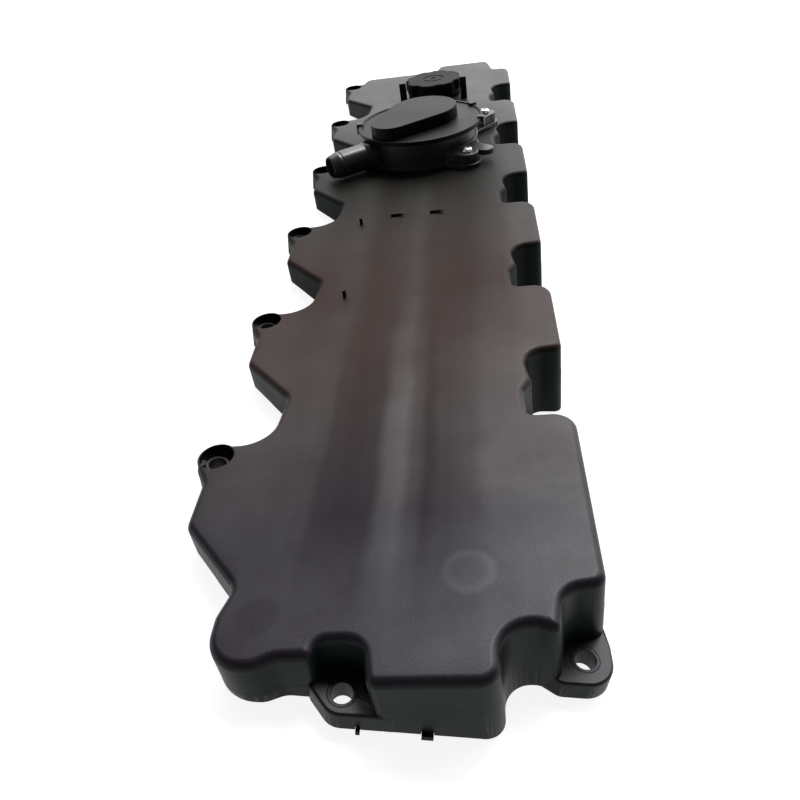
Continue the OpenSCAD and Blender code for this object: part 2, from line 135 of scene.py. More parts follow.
# the cover's outline in pieces, as corners (x, y, radius) in the top frame, anticlockwise
NEAR_END = [(23.8, -97, 12), (23.8, -121.5, 17), (45, -121.5, 12), (53, -117.5, 10), (67.6, -117.5, 4),
            (70, -110, 5), (86.5, -110, 8), (90, NEAR_Y, 5), (140.3, NEAR_Y, 9), (140.3, -105, 12),
            (154.5, -105, 5), (163.2, -108.6, 3.5), (166.2, -89.5, 9), (RIGHT_X, -87, 7)]
POCKET = [(RIGHT_X, 20.5, 12), (160, 20.5, 5), (159.5, 40, 6), (164.5, 49, 3), (161.5, 75, 11),
          (RIGHT_X, 77, 6)]
FAR_END = [(RIGHT_X, 11, 10), (167, 11, 5), (161, FAR_WALL, 9), (102, FAR_WALL, 8), (97, 28, 8), (12, 29, 11),
           (10, 11, 5)]
BAY = [(-10, 10.2, 9.8), (-10, -7, 8), (LEFT_X, -19, 9), (LEFT_X, -47, 9), (28, -83, 8),
       (25, -119.8, 17)]


def shifted(corners, dy):
    return [(x, y + dy, r) for x, y, r in corners]


def cover_corners():
    """The whole outline: near end, right side, far end, and back along the left side."""
    corners = list(NEAR_END)
    for k in range(CYLINDERS - 1):
        corners += shifted(POCKET, k * PITCH)
    corners += shifted(FAR_END, FAR_Y)
    for k in reversed(range(CYLINDERS)):
        corners += shifted(BAY if k else BAY[:-1], k * PITCH)
    return corners


# ---- meshes -----------------------------------------------------------------
def new_object(name, vertices, faces, matrix=None):
    mesh = bpy.data.meshes.new(name)
    mesh.from_pydata([Vector(v) for v in vertices], [], faces)
    if matrix is not None:
        mesh.transform(matrix)
    mesh.update()
    obj = bpy.data.objects.new(name, mesh)
    bpy.context.scene.collection.objects.link(obj)
    return obj


def loft(name, rings, matrix=None, cap=None):
    """A closed solid through rings of the same number of points [x, y, z], from the lowest up.
    cap(ring) gives extra vertices and the faces of the last ring's cap."""
    n = len(rings[0])
    vertices = [p for ring in rings for p in ring]
    faces = []
    for k in range(len(rings) - 1):
        for i in range(n):
            j = (i + 1) % n
            faces.append((k * n + i, k * n + j, (k + 1) * n + j, (k + 1) * n + i))
    faces.append(tuple(reversed(range(n))))
    last = (len(rings) - 1) * n
    if cap is None:
        faces.append(tuple(last + i for i in range(n)))
    else:
        extra, triangles = cap(rings[-1])
        vertices += extra
        faces += [tuple(last + i for i in t) for t in triangles]
    return new_object(name, vertices, faces, matrix)


def at_height(points, z):
    return [(p[0], p[1], z) for p in points]


QUARTER = [math.pi / 2 * k / 4 for k in range(5)]   # angles of a small rounded edge


def edge_profile(top, radius, inset=0.0, steps=6):
    """(height, inset) of a rounded top edge, from the wall up to the flat."""
    turns = (math.pi / 2 * k / steps for k in range(steps + 1))
    return [(top - radius * (1 - math.sin(t)), inset + radius * (1 - math.cos(t))) for t in turns]


def edge_levels(low, high, top_r, low_r=0.0, draft=0.0):
    """(height, inset) from the foot to the top, with rounded edges where the radii aren't 0."""
    foot = [(low, 0.0)]
    if low_r:
        foot = [(low + low_r * (1 - math.cos(t)), low_r * (1 - math.sin(t))) for t in QUARTER]
    return foot + edge_profile(high, top_r, draft)


def stack(name, outline, levels, matrix):
    """A solid whose outline(inset) changes with the height."""
    return loft(name, [at_height(outline(inset), z) for z, inset in levels], matrix)


def slab(name, corners, low, high, radius, matrix, low_radius=0.0):
    """A plate of rounded corners with a rounded top edge."""
    levels = edge_levels(low, high, radius, low_radius)
    return stack(name, lambda i: rounded(corners, i, 8.0), levels, matrix)


def disc(name, radius, low, high, edge, matrix, at=(0, 0), low_edge=0.0, steps=96):
    """A round plate with rounded edges."""
    levels = edge_levels(low, high, edge, low_edge)
    return stack(name, lambda i: circle(radius - i, steps, at), levels, matrix)


def ring_profile(outer, inner, low, high, edge):
    """A ring's section with rounded outer edges and bevelled inner ones."""
    low_side = [(outer - edge * (1 - math.sin(t)), low + edge * (1 - math.cos(t))) for t in QUARTER]
    high_side = [(outer - edge * (1 - math.cos(t)), high - edge * (1 - math.sin(t))) for t in QUARTER]
    small = edge / 2
    bevels = [(inner + small, high), (inner, high - small), (inner, low + small), (inner + small, low)]
    return low_side + high_side + bevels


def revolve(name, profile, matrix, steps=96):
    """A ring or disc of revolution. The profile is a closed list (radius, height), radius 0 on the axis."""
    vertices, faces, index = [], [], []
    for radius, z in profile:
        if radius < 1e-6:
            index.append([len(vertices)] * steps)
            vertices.append((0, 0, z))
        else:
            index.append(list(range(len(vertices), len(vertices) + steps)))
            vertices += at_height(circle(radius, steps), z)
    for k in range(len(profile)):
        a, b = index[k], index[(k + 1) % len(profile)]
        if a[0] == a[1] and b[0] == b[1]:
            continue
        for i in range(steps):
            j = (i + 1) % steps
            face = [a[i], a[j], b[j], b[i]]
            face = [v for q, v in enumerate(face) if v not in face[:q]]
            if len(face) > 2:
                faces.append(tuple(face))
    obj = new_object(name, vertices, faces, matrix)
    face_outwards(obj)
    return obj


def face_outwards(obj):
    """Turns every face of a closed mesh outwards."""
    work = bmesh.new()
    work.from_mesh(obj.data)
    bmesh.ops.recalc_face_normals(work, faces=work.faces)
    work.to_mesh(obj.data)
    work.free()


def combine(obj, others, operation):
    """Applies one boolean after another to obj and removes the others."""
    for other in others:
        modifier = obj.modifiers.new("combine", "BOOLEAN")
        modifier.operation = operation
        modifier.solver = "MANIFOLD"
        modifier.object = other
        graph = bpy.context.evaluated_depsgraph_get()
        made = bpy.data.meshes.new_from_object(obj.evaluated_get(graph))
        obj.modifiers.clear()
        obj.data = made
        bpy.data.objects.remove(other)
    return obj


def finish_piece(obj, body, material, nodes, sharp=32.0):
    """Shading, material, and the CAD nodes that the piece stands for."""
    obj.data.materials.clear()
    obj.data.materials.append(material)
    obj.data.shade_smooth()
    obj.data.set_sharp_from_angle(angle=math.radians(sharp))
    weighted = obj.modifiers.new("weighted", "WEIGHTED_NORMAL")
    weighted.keep_sharp = True
    weighted.weight = 80
    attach(obj, body)
    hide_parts(*nodes)


def cad_copy(node):
    """A welded copy of a CAD node's mesh."""
    mesh = frame["nodes"][node].data.copy()
    obj = bpy.data.objects.new(node + "_copy", mesh)
    bpy.context.scene.collection.objects.link(obj)
    work = bmesh.new()
    work.from_mesh(mesh)
    bmesh.ops.remove_doubles(work, verts=work.verts, dist=1e-7)
    work.to_mesh(mesh)
    work.free()
    return obj


# ---- materials --------------------------------------------------------------
class Nodes:
    """A short way to build a material."""

    def __init__(self, name):
        self.material = bpy.data.materials.new(name)
        self.material.use_nodes = True
        self.tree = self.material.node_tree
        self.shader = self.tree.nodes["Principled BSDF"]
        self.where = self.add("ShaderNodeTexCoord").outputs["Object"]

    def add(self, kind, **inputs):
        node = self.tree.nodes.new(kind)
        for key, value in inputs.items():
            self.put(node.inputs[key.replace("_", " ")], value)
        return node

    def put(self, socket, value):
        if isinstance(value, bpy.types.NodeSocket):
            self.tree.links.new(value, socket)
        else:
            socket.default_value = value

    def noise(self, scale, detail=2.0, roughness=0.5):
        return self.add("ShaderNodeTexNoise", Vector=self.where, Scale=scale, Detail=detail,
                        Roughness=roughness).outputs["Fac"]

    def ramp(self, value, low, high, low_out, high_out):
        node = self.add("ShaderNodeMapRange", Value=value)
        for key, number in (("From Min", low), ("From Max", high), ("To Min", low_out), ("To Max", high_out)):
            node.inputs[key].default_value = number
        return node.outputs["Result"]

    def mix(self, factor, a, b):
        node = self.tree.nodes.new("ShaderNodeMix")
        node.data_type = "RGBA"
        self.put(node.inputs["Factor"], factor)
        self.put(node.inputs[6], a)
        self.put(node.inputs[7], b)
        return node.outputs[2]

    def math(self, operation, a, b=0.0):
        node = self.tree.nodes.new("ShaderNodeMath")
        node.operation = operation
        self.put(node.inputs[0], a)
        self.put(node.inputs[1], b)
        return node.outputs[0]

    def grain(self, scale, distance):
        """The normal of a fine grain."""
        height = self.noise(scale, 2.0, 0.6)
        return self.add("ShaderNodeBump", Height=height, Distance=distance, Strength=0.6).outputs["Normal"]

    def upright(self):
        """0 on the moulding's steep sides, 1 on faces that look up."""
        normal = self.add("ShaderNodeTexCoord").outputs["Normal"]
        return self.ramp(self.add("ShaderNodeSeparateXYZ", Vector=normal).outputs[2], 0.3, 0.85, 0.0, 1.0)


def moulded(name, dark, light, roughness, gloss=0.3, grain=0.00006, grain_scale=1400.0):
    """Moulded plastic: fine grain, soft clouds of tone and gloss."""
    m = Nodes(name)
    clouds = m.noise(14.0, 4.0, 0.6)
    fine = m.noise(126.0, 3.0, 0.6)
    tone = m.math("ADD", m.math("MULTIPLY", clouds, 0.7), m.math("MULTIPLY", fine, 0.3))
    m.put(m.shader.inputs["Base Color"], m.mix(m.ramp(tone, 0.35, 0.65, 0.0, 1.0), (*dark, 1), (*light, 1)))
    m.put(m.shader.inputs["Roughness"], m.ramp(tone, 0.3, 0.7, roughness - 0.05, roughness + 0.06))
    m.put(m.shader.inputs["Normal"], m.grain(grain_scale, grain))
    m.put(m.shader.inputs["Specular IOR Level"], m.ramp(m.upright(), 0.0, 1.0, 0.4 * gloss, gloss))
    return m.material


def metal(name, color, roughness):
    """Metal with small changes of tone and gloss."""
    m = Nodes(name)
    m.shader.inputs["Metallic"].default_value = 1.0
    tone = m.noise(900.0, 3.0, 0.6)
    dim = tuple(c * 0.8 for c in color)
    m.put(m.shader.inputs["Base Color"], m.mix(tone, (*dim, 1), (*color, 1)))
    m.put(m.shader.inputs["Roughness"], m.ramp(tone, 0.3, 0.7, roughness - 0.06, roughness + 0.08))
    return m.material


FULL_GLOSS = (0.82, 0.82, 0.82, 1)   # the far part and the near edge, which have no streaks
DULL_SPOT = (-0.0473, -0.3825)       # a dull round mark on the near left lobe
PALE_RING = (0.0375, -0.3635)        # a pale ring, the trace of a moulding pin


def cover_plastic():
    """The cover's plastic: tone and gloss change along its length, with soft streaks along Y. The tone is a
    painted reflection colour on the top and painted shade on the steep walls.
    """
    m = Nodes("cover_nylon")
    split = m.add("ShaderNodeSeparateXYZ", Vector=m.where)
    x, y = split.outputs[0], split.outputs[1]
    wander = m.math("MULTIPLY", m.math("SUBTRACT", m.noise(9.0, 3.0, 0.55), 0.5), 0.016)
    across = m.ramp(m.math("ADD", x, wander), -0.1, 0.1, 0.0, 1.0)

    def streaks(stops):
        ramp = m.add("ShaderNodeValToRGB", Fac=across)
        ramp.color_ramp.interpolation = "EASE"
        for k, (at, level) in enumerate(stops):
            place = at / 200 + 0.5
            element = ramp.color_ramp.elements[k] if k < 2 else ramp.color_ramp.elements.new(place)
            element.position = place
            element.color = (level, level, level, 1)
        return ramp.outputs["Color"]

    # (mm from the middle, gloss) of the streaks, near end and middle
    near = streaks([(-80, 0.78), (-62, 0.6), (-46, 0.54), (-37, 0.44), (-31, 0.2), (-20, 0.13), (-8, 0.22),
                    (0, 0.78), (6, 0.84), (13, 0.4), (20, 0.15), (27, 0.34), (40, 0.44), (50, 0.72),
                    (80, 0.76)])
    middle = streaks([(-80, 0.18), (-60, 0.11), (-40, 0.17), (-24, 0.05), (-4, 0.13), (4, 0.2), (18, 0.05),
                      (40, 0.03), (62, 0.16), (80, 0.4)])
    far_part = m.ramp(y, 0.12, 0.26, 0.0, 1.0)
    level = m.mix(m.ramp(y, -0.27, -0.13, 0.0, 1.0), near, m.mix(far_part, middle, FULL_GLOSS))
    level = m.mix(m.ramp(y, -0.405, -0.33, 1.0, 0.0), level, FULL_GLOSS)
    cloud = m.ramp(m.noise(26.0, 4.0, 0.6), 0.3, 0.7, 0.78, 1.2)
    level = m.math("MULTIPLY", level, cloud)

    def away(place):
        """Distance from a place on the top."""
        side = m.math("POWER", m.math("SUBTRACT", x, place[0]), 2.0)
        return m.math("SQRT", m.math("ADD", side, m.math("POWER", m.math("SUBTRACT", y, place[1]), 2.0)))

    dull = m.ramp(away(DULL_SPOT), 0.0075, 0.0098, 0.8, 1.0)
    out = away(PALE_RING)
    pale = m.math("MULTIPLY", m.ramp(out, 0.0060, 0.0094, 0.08, 0.26), m.ramp(out, 0.0094, 0.0125, 1.0, 0.0))
    level = m.math("ADD", m.math("MULTIPLY", level, dull), pale)
    facing = m.upright()
    gloss = m.math("MULTIPLY", m.ramp(level, 0.0, 1.0, 0.04, 0.32), m.ramp(facing, 0.0, 1.0, 0.34, 1.0))
    m.put(m.shader.inputs["Specular IOR Level"], gloss)
    m.put(m.shader.inputs["Roughness"], m.ramp(level, 0.0, 1.0, 0.5, 0.4))
    # painted reflection colour on the top: purplish blue at the near end, brown through the middle, neutral
    # grey-brown from the middle on
    painted_reflection_tint = m.mix(m.ramp(y, -0.34, -0.2, 0.0, 1.0), (0.009, 0.0062, 0.0115, 1), (0.026, 0.0125, 0.010, 1))
    painted_reflection_tint = m.mix(m.ramp(y, -0.1, 0.03, 0.0, 1.0), painted_reflection_tint, (0.0105, 0.0095, 0.0078, 1))
    # painted shade: the steep walls get a darker, greenish base colour than the top
    m.put(m.shader.inputs["Base Color"], m.mix(facing, (0.004, 0.0078, 0.007, 1), painted_reflection_tint))
    m.put(m.shader.inputs["Normal"], m.grain(1000.0, 0.0001))
    return m.material


NYLON = cover_plastic()
NYLON_INNER = moulded("inner_nylon", (0.012, 0.012, 0.012), (0.018, 0.018, 0.018), 0.45)
HOUSING = moulded("valve_housing", (0.016, 0.0175, 0.019), (0.022, 0.024, 0.026), 0.3, 0.5)
LID = moulded("valve_lid", (0.004, 0.004, 0.004), (0.006, 0.006, 0.0055), 0.42, 0.15)
VENT = moulded("vent_cover", (0.003, 0.003, 0.003), (0.0045, 0.0045, 0.004), 0.48, 0.16)
CAP_PLASTIC = moulded("filler_cap", (0.004, 0.004, 0.004), (0.006, 0.006, 0.0055), 0.58, 0.1)
RUBBER = moulded("rubber", (0.006, 0.006, 0.006), (0.010, 0.010, 0.010), 0.65)
MEMBRANE = moulded("membrane", (0.05, 0.028, 0.018), (0.07, 0.04, 0.025), 0.6, 0.3, 0.00015, 2500.0)
WHITE_NYLON = moulded("plate_nylon", (0.5, 0.49, 0.44), (0.6, 0.59, 0.54), 0.45)
CLIP = moulded("clip_plastic", (0.015, 0.015, 0.015), (0.022, 0.022, 0.022), 0.4)
STEEL = metal("zinc_steel", (0.55, 0.55, 0.54), 0.38)
SLEEVE_STEEL = metal("phosphated_steel", (0.04, 0.04, 0.044), 0.5)
SCREW = metal("bright_screw", (0.85, 0.85, 0.83), 0.25)
BRASS = metal("brass", (0.75, 0.56, 0.28), 0.35)
BY_SLOT = {"nylon": NYLON, "nylon_inner": NYLON_INNER, "housing": HOUSING, "lid": LID, "cap": CAP_PLASTIC,
           "rubber": RUBBER, "membrane": MEMBRANE, "plate": WHITE_NYLON, "clip": CLIP, "steel": STEEL,
           "screw": SCREW, "brass": BRASS}
for part in frame["record"]["subparts"]:
    mesh = frame["nodes"][part["node"]].data
    mesh.materials.clear()
    mesh.materials.append(BY_SLOT[part["material_slot"]])


# ---- the cover --------------------------------------------------------------
EDGE_R = 4.0                          # rounding of the cover's top edge
WALL_INSET = 0.26                     # the walls' distance inside the CAD walls
DRAFT = 0.46                          # the same at the top edge, where the walls lean in
SEAM_Z = -20.0                        # a faint step where the mould parts
EAR_INSET = 0.2                       # the ears' rims, inside the CAD ears


def swell(x, y):
    """Depth of the top's gentle hollows, in mm: long valleys between the rocker rows."""
    def hollow(middle, width):
        return np.exp(-((x - middle) / width) ** 2)
    fade = 0.5 - 0.5 * np.tanh((y - 190) / 60)
    across = 0.7 * hollow(75, 11) + 0.55 * hollow(111, 9) + 0.25 * hollow(33, 8)
    start = 0.5 + 0.5 * np.tanh((y + 92) / 12)
    return across * fade * start


def top_cap(ring):
    """Points inside the top's edge that follow swell(), and the triangles between all of them."""
    edge = [Vector(p[:2]) for p in ring]
    outline = np.array([p[:2] for p in ring])
    inner = []
    cell = 5.0
    for x in np.arange(-10, 184, cell):
        for y in np.arange(-128, FAR_Y + FAR_WALL, cell):
            p = np.array([x, y])
            if np.min(np.sum((outline - p) ** 2, axis=1)) < (0.7 * cell) ** 2:
                continue
            a, b = outline, np.roll(outline, -1, axis=0)
            crossing = (a[:, 1] > y) != (b[:, 1] > y)
            with np.errstate(divide="ignore", invalid="ignore"):
                at = a[:, 0] + (y - a[:, 1]) * (b[:, 0] - a[:, 0]) / (b[:, 1] - a[:, 1])
            if np.sum(crossing & (at > x)) % 2:
                inner.append(p)
    n = len(edge)
    out = delaunay_2d_cdt(edge + [Vector(p) for p in inner], [], [list(range(n))], 1, 1e-5)
    points, triangles, origins = out[0], out[2], out[3]
    number = {}
    extra = []
    for i, source in enumerate(origins):
        if source and source[0] < n:
            number[i] = source[0]
        else:
            number[i] = n + len(extra)
            extra.append((points[i].x, points[i].y, -float(swell(points[i].x, points[i].y))))
    return extra, [tuple(number[i] for i in t) for t in triangles]


def block_envelope():
    corners = cover_corners()
    levels = [(-70.0, WALL_INSET), (SEAM_Z, WALL_INSET), (SEAM_Z + 0.5, WALL_INSET + 0.12)]
    levels += edge_profile(0.0, EDGE_R, DRAFT, 7)
    rings = []
    for z, inset in levels:
        share = max(0.0, 1 + z / EDGE_R)
        rings.append([(p[0], p[1], z - share * float(swell(p[0], p[1]))) for p in rounded(corners, inset)])
    return loft("block", rings, TOP, top_cap)


def sloped_column(name, at, profile, steps=48):
    """A vertical column of rings (radius, height, from_flange). A ring's height is above the flange if
    from_flange, and else above the sloping top, which the ring follows."""
    def plane(x):
        return math.tan(TILT) * (x + LEFT_H * math.sin(TILT)) + LEFT_H * math.cos(TILT)
    rings = []
    for radius, z, from_flange in profile:
        ring = []
        for p in circle(radius, steps, at):
            ring.append((p[0], p[1], z if from_flange else plane(p[0]) + z))
        rings.append(ring)
    return loft(name, rings, FLANGE)


def ear_outlines():
    """The corners of each screw ear, flange frame."""
    outlines = []
    r = EAR_R - EAR_INSET
    for k in range(CYLINDERS - 1):
        y = k * PITCH + POCKET_SCREW
        outlines.append([(150, y - r, 1), (EAR_X + r, y - r, r - 0.1), (EAR_X + r, y + r, r - 0.1),
                         (150, y + r, 1)])
    y = CORNER_EAR_Y
    outlines.append([(150, -100.8, 1), (157.5, -105.0, 8), (164, y - r, 6), (EAR_X + r, y - r, r - 0.1),
                     (EAR_X + r, -90, 8), (184.3, -78, 1), (150, -78, 1)])
    y = FAR_EAR_Y
    outlines.append([(155, y - 22, 1), (EAR_X + r, y - 22, 1), (EAR_X + r, y + r, r - 0.1), (155, y + r, 2)])
    outlines.append([(62.4, -117.4, 6), (72.6, -129.3, 9), (98, -129.3, 1), (98, -100, 1), (62.4, -100, 1)])
    return outlines


def box_corners(x, y, wide, deep, radius):
    return [(x + sx * wide, y + sy * deep, radius) for sx, sy in ((-1, -1), (1, -1), (1, 1), (-1, 1))]


def post_envelopes():
    """The two posts that guard the filler cap, and two small tabs."""
    made = []
    for side in (-1, 1):
        corners = box_corners(CAP_AT[0] + side * 32.5, CAP_AT[1] - 22, 3.45, 2.95, 0.8)
        made.append(slab("post", corners, -3, 21.9, 0.6, TOP))
    for x, y in ((49, 2 * PITCH + 4), (49, PITCH + 23)):
        made.append(slab("tab", box_corners(x, y, 1.15, 1.55, 0.4), -3, 4.95, 0.4, TOP))
    return made


def build_cover():
    """The CAD cover, trimmed by a slightly smaller envelope with rounded edges."""
    envelope = block_envelope()
    extra = []
    for k in range(CYLINDERS):
        lip = [(BOSS_R - 0.05, -10.0, True), (BOSS_R - 0.05, -0.9, False), (BOSS_R - 0.15, -0.45, False),
               (BOSS_R - 0.45, -0.12, False), (BOSS_R - 0.9, 0.0, False)]
        extra.append(sloped_column("boss", (BOLT_X, k * PITCH), lip))
    for corners in ear_outlines():
        extra.append(slab("ear", corners, -10, EAR_T - 0.02, 1.2, FLANGE))
    combine(envelope, extra + post_envelopes(), "UNION")
    cover = cad_copy("cover_shell")
    combine(cover, [envelope], "INTERSECT")
    mouth = ((-0.05, -4.0), (0.0, -0.8), (0.12, -0.4), (0.4, -0.1), (0.7, 0.02), (0.7, 4.0))
    flare = [(COUNTERBORE_R + wider, z, False) for wider, z in mouth]
    flares = [sloped_column("flare", (BOLT_X, k * PITCH), flare) for k in range(CYLINDERS)]
    combine(cover, flares, "DIFFERENCE")
    cover.name = "cover_skin"
    finish_piece(cover, "cover", NYLON, ["cover_shell"])


def build_sleeves():
    """The steel sleeves of the fourteen screw holes."""
    def sleeve(node, x, y, high):
        place = FLANGE @ Matrix.Translation((x, y, 0))
        piece = revolve(node + "_skin", ring_profile(SLEEVE_R, HOLE_R, 0.0, high, 0.4), place, 64)
        finish_piece(piece, "cover", SLEEVE_STEEL, [node])
    for k in range(CYLINDERS):
        sleeve(f"left_sleeve_{k + 1}", BOLT_X, k * PITCH, LEFT_SLEEVE)
    for k in range(CYLINDERS - 1):
        sleeve(f"right_sleeve_{k + 1}", EAR_X, k * PITCH + POCKET_SCREW, EAR_T)
    for k, (x, y) in enumerate((NEAR_EAR, (EAR_X, CORNER_EAR_Y), (EAR_X, FAR_EAR_Y))):
        sleeve(f"end_sleeve_{k + 1}", x, y, EAR_T)


# ---- the ventilation valve ---------------------------------------------------
BODY_R = 50.0
LID_R = 57.0
RIM_Z = 24.0                          # the lid stands on this level
LID_TOP = 28.0
LID_DISH = 1.0                        # depth of the lid's top below its rim
VENT_H = 9.5
LUG_TOP = 12.0
SPIGOT_R = 11.3
SPIGOT_END = 96.0
SPIGOT_TURN = 214                     # degrees
SPIGOT_Z = 12.0
DUCT_Z = 9.9


def valve_turned(degrees, offset):
    """The valve's frame, turned about its axis and then moved by offset."""
    return PCV @ Matrix.Rotation(math.radians(degrees), 4, "Z") @ Matrix.Translation(offset)


LYING = Matrix.Rotation(math.pi / 2, 4, "Y")
SPIGOT = valve_turned(SPIGOT_TURN, (0, 0, SPIGOT_Z)) @ LYING
DUCT = valve_turned(SPIGOT_TURN, (0, 0, DUCT_Z)) @ LYING


def lug(at, radius, low, high, edge):
    """A round screw pad, and the web from it to the housing."""
    reach = math.hypot(*at)
    place = PCV @ Matrix.Rotation(math.atan2(at[1], at[0]), 4, "Z")
    corners = [(30, -radius - 8, 0.5), (reach, 0.6 - radius, 0.5), (reach, radius - 0.6, 0.5),
               (30, radius + 8, 0.5)]
    pad = disc("pad", radius, low, high, edge, place, (reach, 0), steps=48)
    return combine(pad, [slab("web", corners, low, high, edge, place)], "UNION")


def spigot_solid():
    """The hose spigot with its thicker root, and a bead behind the tapered mouth."""
    wall = [(0, 30), (SPIGOT_R, 30), (SPIGOT_R, 84.6), (SPIGOT_R - 0.5, 85.4), (SPIGOT_R - 0.5, 86.4),
            (SPIGOT_R - 0.15, 87.2), (SPIGOT_R - 0.2, 88.4), (SPIGOT_R - 0.7, 89.8), (9.9, 93.6), (9.5, 95.0),
            (9.0, 95.8), (8.6, SPIGOT_END), (0, SPIGOT_END)]
    root = [(0, 30), (12.7, 30), (12.7, 57), (12.5, 59), (12.0, 60.6), (SPIGOT_R + 0.1, 61.8), (0, 61.8)]
    thick = revolve("root", root, SPIGOT, 64)
    combine(thick, [disc("clip", 130, 0.0, RIM_Z - 0.42, 0.2, PCV)], "INTERSECT")
    return combine(revolve("spigot", wall, SPIGOT, 64), [thick], "UNION")


def build_housing():
    """The valve's housing, hollow round its central seat."""
    body = disc("housing_skin", BODY_R, 0.0, RIM_Z, 0.8, PCV, steps=128)
    parts = [disc("base", BODY_R + 2, 0.0, 3.0, 0.8, PCV, steps=128),
             disc("band", BODY_R + 1.5, 10.0, 12.5, 0.6, PCV, low_edge=0.6, steps=128)]
    for at in LUGS:
        parts += [lug(at, 12, 0.0, 4.0, 0.8), lug(at, 10, 0.0, LUG_TOP, 1.0)]
    parts += [lug((57, -40), 7, 6.5, 11.0, 0.8), spigot_solid()]
    combine(body, parts, "UNION")
    combine(body, [revolve("hollow", [(15.5, 4), (46, 4), (46, 25), (15.5, 25)], PCV)], "DIFFERENCE")
    combine(body, [disc("duct", 7.4, 14, 47.5, 0.1, DUCT, steps=48)], "UNION")
    cuts = [disc("seat", 13, 4, 25, 0.1, PCV, steps=64), disc("seat_top", 16, 17.5, 25, 0.1, PCV, steps=64),
            disc("bore", 5.4, 2, 54, 0.1, DUCT, steps=48),
            revolve("mouth", [(0, 52), (7.9, 52), (7.9, 94.6), (8.3, 95.6), (9.4, 97), (0, 97)], SPIGOT, 64),
            revolve("lid_groove", [(45, 22.5), (48.2, 22.5), (48.2, 25), (45, 25)], PCV),
            revolve("foot_groove", [(39.9, -1), (44.2, -1), (44.2, 1.7), (39.9, 1.7)], PCV)]
    for at in LUGS:
        cuts.append(disc("hole", 2.8, -1, 19, 0.1, PCV, at, steps=32))
    for k in range(6):
        turn = math.radians(60 * k + 4)
        cuts.append(disc("port", 5.5, -1, 5, 0.1, PCV, (29 * math.cos(turn), 29 * math.sin(turn)), steps=32))
    combine(body, cuts, "DIFFERENCE")
    finish_piece(body, "cover", HOUSING, ["pcv_housing"], 28)


def build_lid():
    """The lid is a dish: a narrow rim stands round its top."""
    plate = LID_TOP - LID_DISH
    profile = [(48.3, RIM_Z), (LID_R - 1.2, RIM_Z), (LID_R - 0.5, RIM_Z + 0.3), (LID_R - 0.1, RIM_Z + 1.2)]
    profile += [(LID_R - 0.1 - inset, z) for z, inset in edge_profile(LID_TOP, 0.6)]
    profile += [(54.9, LID_TOP), (54.5, LID_TOP - 0.3), (54.3, plate + 0.3), (54.0, plate), (18, plate),
                (18, plate - 0.55), (45.8, plate - 0.55), (45.8, RIM_Z + 1.4), (48.3, RIM_Z + 1.4)]
    piece = revolve("lid_skin", profile, PCV, 128)
    finish_piece(piece, "cover", LID, ["pcv_lid"], 28)


# centres of the raised cover's two round ends
VENT_A = np.array((3.0, 7.0))
VENT_B = np.array((-24.0, -27.0))


def teardrop(radius_a, radius_b, inset, steps=40):
    """Outline round two discs of different size and their tangents."""
    along = VENT_B - VENT_A
    heading = math.atan2(along[1], along[0])
    lean = math.acos((radius_a - radius_b) / float(np.linalg.norm(along)))
    points = []
    for centre, radius, start, sweep in ((VENT_A, radius_a, heading + lean, 2 * (math.pi - lean)),
                                         (VENT_B, radius_b, heading - lean, 2 * lean)):
        for k in range(steps + 1):
            angle = start + sweep * k / steps
            points.append(centre + (radius - inset) * np.array((math.cos(angle), math.sin(angle))))
    return points


def build_vent_cover():
    """The drop-shaped raised cover on the lid, hollow below."""
    levels = edge_levels(LID_TOP - LID_DISH - 0.1, LID_TOP + VENT_H, 0.8, 0.0, 0.25)
    piece = stack("vent_cover_skin", lambda i: teardrop(31, 18, i), levels, PCV)
    inner_levels = [(LID_TOP - 3, 0.0), (LID_TOP + VENT_H - 2, 0.2)]
    hollow = stack("vent_hollow", lambda i: teardrop(28.6, 15.6, i), inner_levels, PCV)
    combine(piece, [hollow], "DIFFERENCE")
    finish_piece(piece, "cover", VENT, ["vent_cover"], 28)


CLIP_WIDTH = 6.0


def build_clips():
    """C-shaped clips that hold the lid's rim against the housing."""
    inner = BODY_R + 0.3
    rim = LID_R + 0.3
    corners = [(inner, RIM_Z - 3.6, 0.3), (LID_R + 2.2, RIM_Z - 3.6, 0.9), (LID_R + 2.2, LID_TOP + 1.6, 1.0),
               (LID_R - 4, LID_TOP + 1.6, 0.5), (LID_R - 4, LID_TOP + 0.05, 0.3), (rim, LID_TOP + 0.05, 0.3),
               (rim, RIM_Z - 2, 0.3), (inner, RIM_Z - 2, 0.3)]
    for k, turn in enumerate((-12, 32, 92, 176)):
        place = valve_turned(turn, (0, CLIP_WIDTH / 2, 0)) @ Matrix.Rotation(math.pi / 2, 4, "X")
        piece = slab(f"clip_{k + 1}", corners, 0.0, CLIP_WIDTH, 0.4, place, 0.4)
        finish_piece(piece, "cover", CLIP, [f"lid_clip_{k + 1}"])


def star(radius, depth, steps=60):
    """A six-lobed outline."""
    points = []
    for k in range(steps):
        a = 2 * math.pi * k / steps
        points.append(np.array((math.cos(a), math.sin(a))) * (radius - depth * (0.5 - 0.5 * math.cos(6 * a))))
    return points


def build_screws():
    """The valve's three screws, with a six-lobed recess in the head."""
    for k, (x, y) in enumerate(LUGS):
        place = PCV @ Matrix.Translation((x, y, LUG_TOP))
        profile = [(0, -21), (1.6, -21), (2.1, -20.3), (2.1, 0), (4.3, 0), (4.6, 0.3), (4.6, 1.5),
                   (4.35, 2.2), (3.8, 2.75), (3.2, 3.0), (0, 3.0)]
        piece = revolve(f"valve_screw_{k + 1}", profile, place, 48)
        recess = stack("recess", lambda i: star(2.3 - i, 0.5), [(1.2, 0.15), (2.7, 0.0), (3.2, -0.2)], place)
        combine(piece, [recess], "DIFFERENCE")
        finish_piece(piece, "cover", SCREW, [f"pcv_screw_{k + 1}"])


